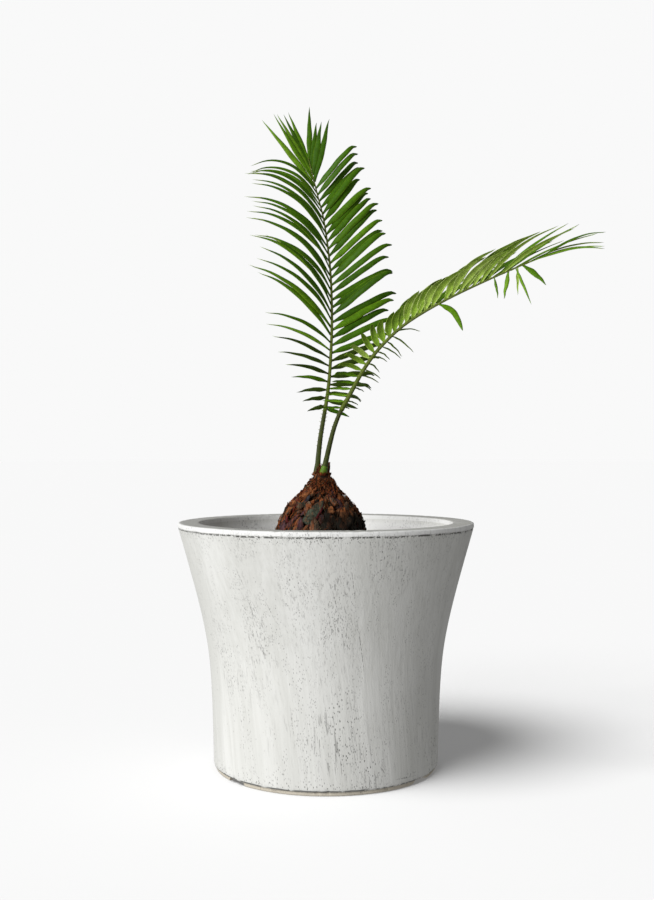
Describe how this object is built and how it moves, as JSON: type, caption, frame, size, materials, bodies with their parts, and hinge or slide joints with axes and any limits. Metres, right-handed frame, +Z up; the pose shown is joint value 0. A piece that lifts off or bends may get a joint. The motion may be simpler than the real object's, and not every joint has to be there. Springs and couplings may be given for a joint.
{
  "type": "potted sago palm",
  "caption": "Young sago palm with a squat trunk, an upright frond and an arching frond, in a flared whitewashed cement pot.",
  "frame": {"origin": "centre of the pot's flat underside, on the surface it stands on", "axes": "+Z up along the pot's axis; the front of the plant faces -Y, and the arching frond reaches towards +X"},
  "size_m": [0.4156, 0.3, 0.7127],
  "materials": {
    "cement": "whitewashed, matte, brushed, with worn edges",
    "potting_mix": "crumbly, matte",
    "trunk_fibre": "rough old leaf bases with rusty fibre",
    "stalk": "smooth, waxy, with small spines",
    "leaflets": "leathery, glossy above and paler below"
  },
  "bodies": {
    "root": {"pot": "cement", "soil": "potting_mix", "trunk": "trunk_fibre", "stalk_upright": "stalk", "stalk_arching": "stalk", "frond_upright": "leaflets", "frond_arching": "leaflets"}
  },
  "joints": []
}
